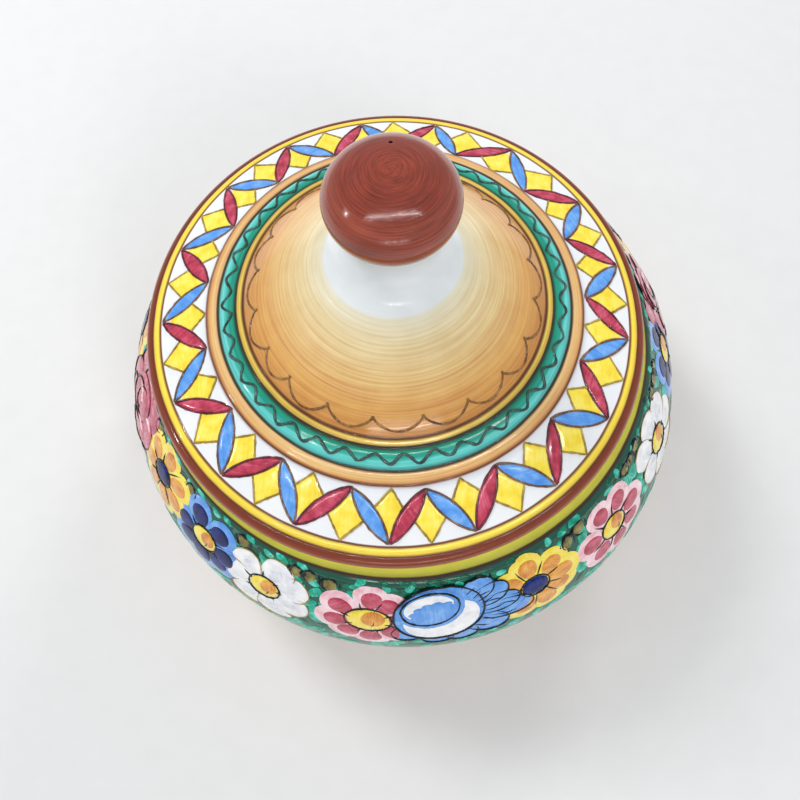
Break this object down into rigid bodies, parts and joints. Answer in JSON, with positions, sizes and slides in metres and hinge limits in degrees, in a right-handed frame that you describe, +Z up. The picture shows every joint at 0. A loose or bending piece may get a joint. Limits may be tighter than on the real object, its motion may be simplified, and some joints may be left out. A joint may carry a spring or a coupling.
{
  "type": "lidded pot",
  "caption": "Round-bellied glazed earthenware serving pot with a conical lift-off lid, painted geometric and floral bands and a flattened-ball knob.",
  "frame": {"origin": "on the turning axis, at the table: the middle of the flat underside of the foot ring", "axes": "+Z up along the turning axis through the knob; -Y faces the viewer, with the pale blue rose; +X to the viewer's right"},
  "size_m": [0.3, 0.3, 0.2259],
  "materials": {
    "painted_glaze": "gloss tin glaze over painted flowers on a green ground",
    "bare_foot_clay": "unglazed fired clay",
    "lime_yellow_glaze": "gloss glaze",
    "brushed_ochre_glaze": "gloss glaze over brushed bands",
    "cream_under_glaze": "thin satin glaze",
    "red_brown_glaze": "high gloss glaze with brushed rings"
  },
  "bodies": {
    "pot": {"pot_bowl": "painted_glaze", "pot_foot_ring": "bare_foot_clay", "pot_collar": "lime_yellow_glaze"},
    "lid": {"lid_shell": "brushed_ochre_glaze", "lid_locating_ring": "cream_under_glaze", "lid_knob": "red_brown_glaze"}
  },
  "joints": [
    {"name": "lid_lift", "type": "slide", "parent": "pot", "child": "lid", "axis": [0, 0, 1], "range_m": [0, 0.18]}
  ]
}
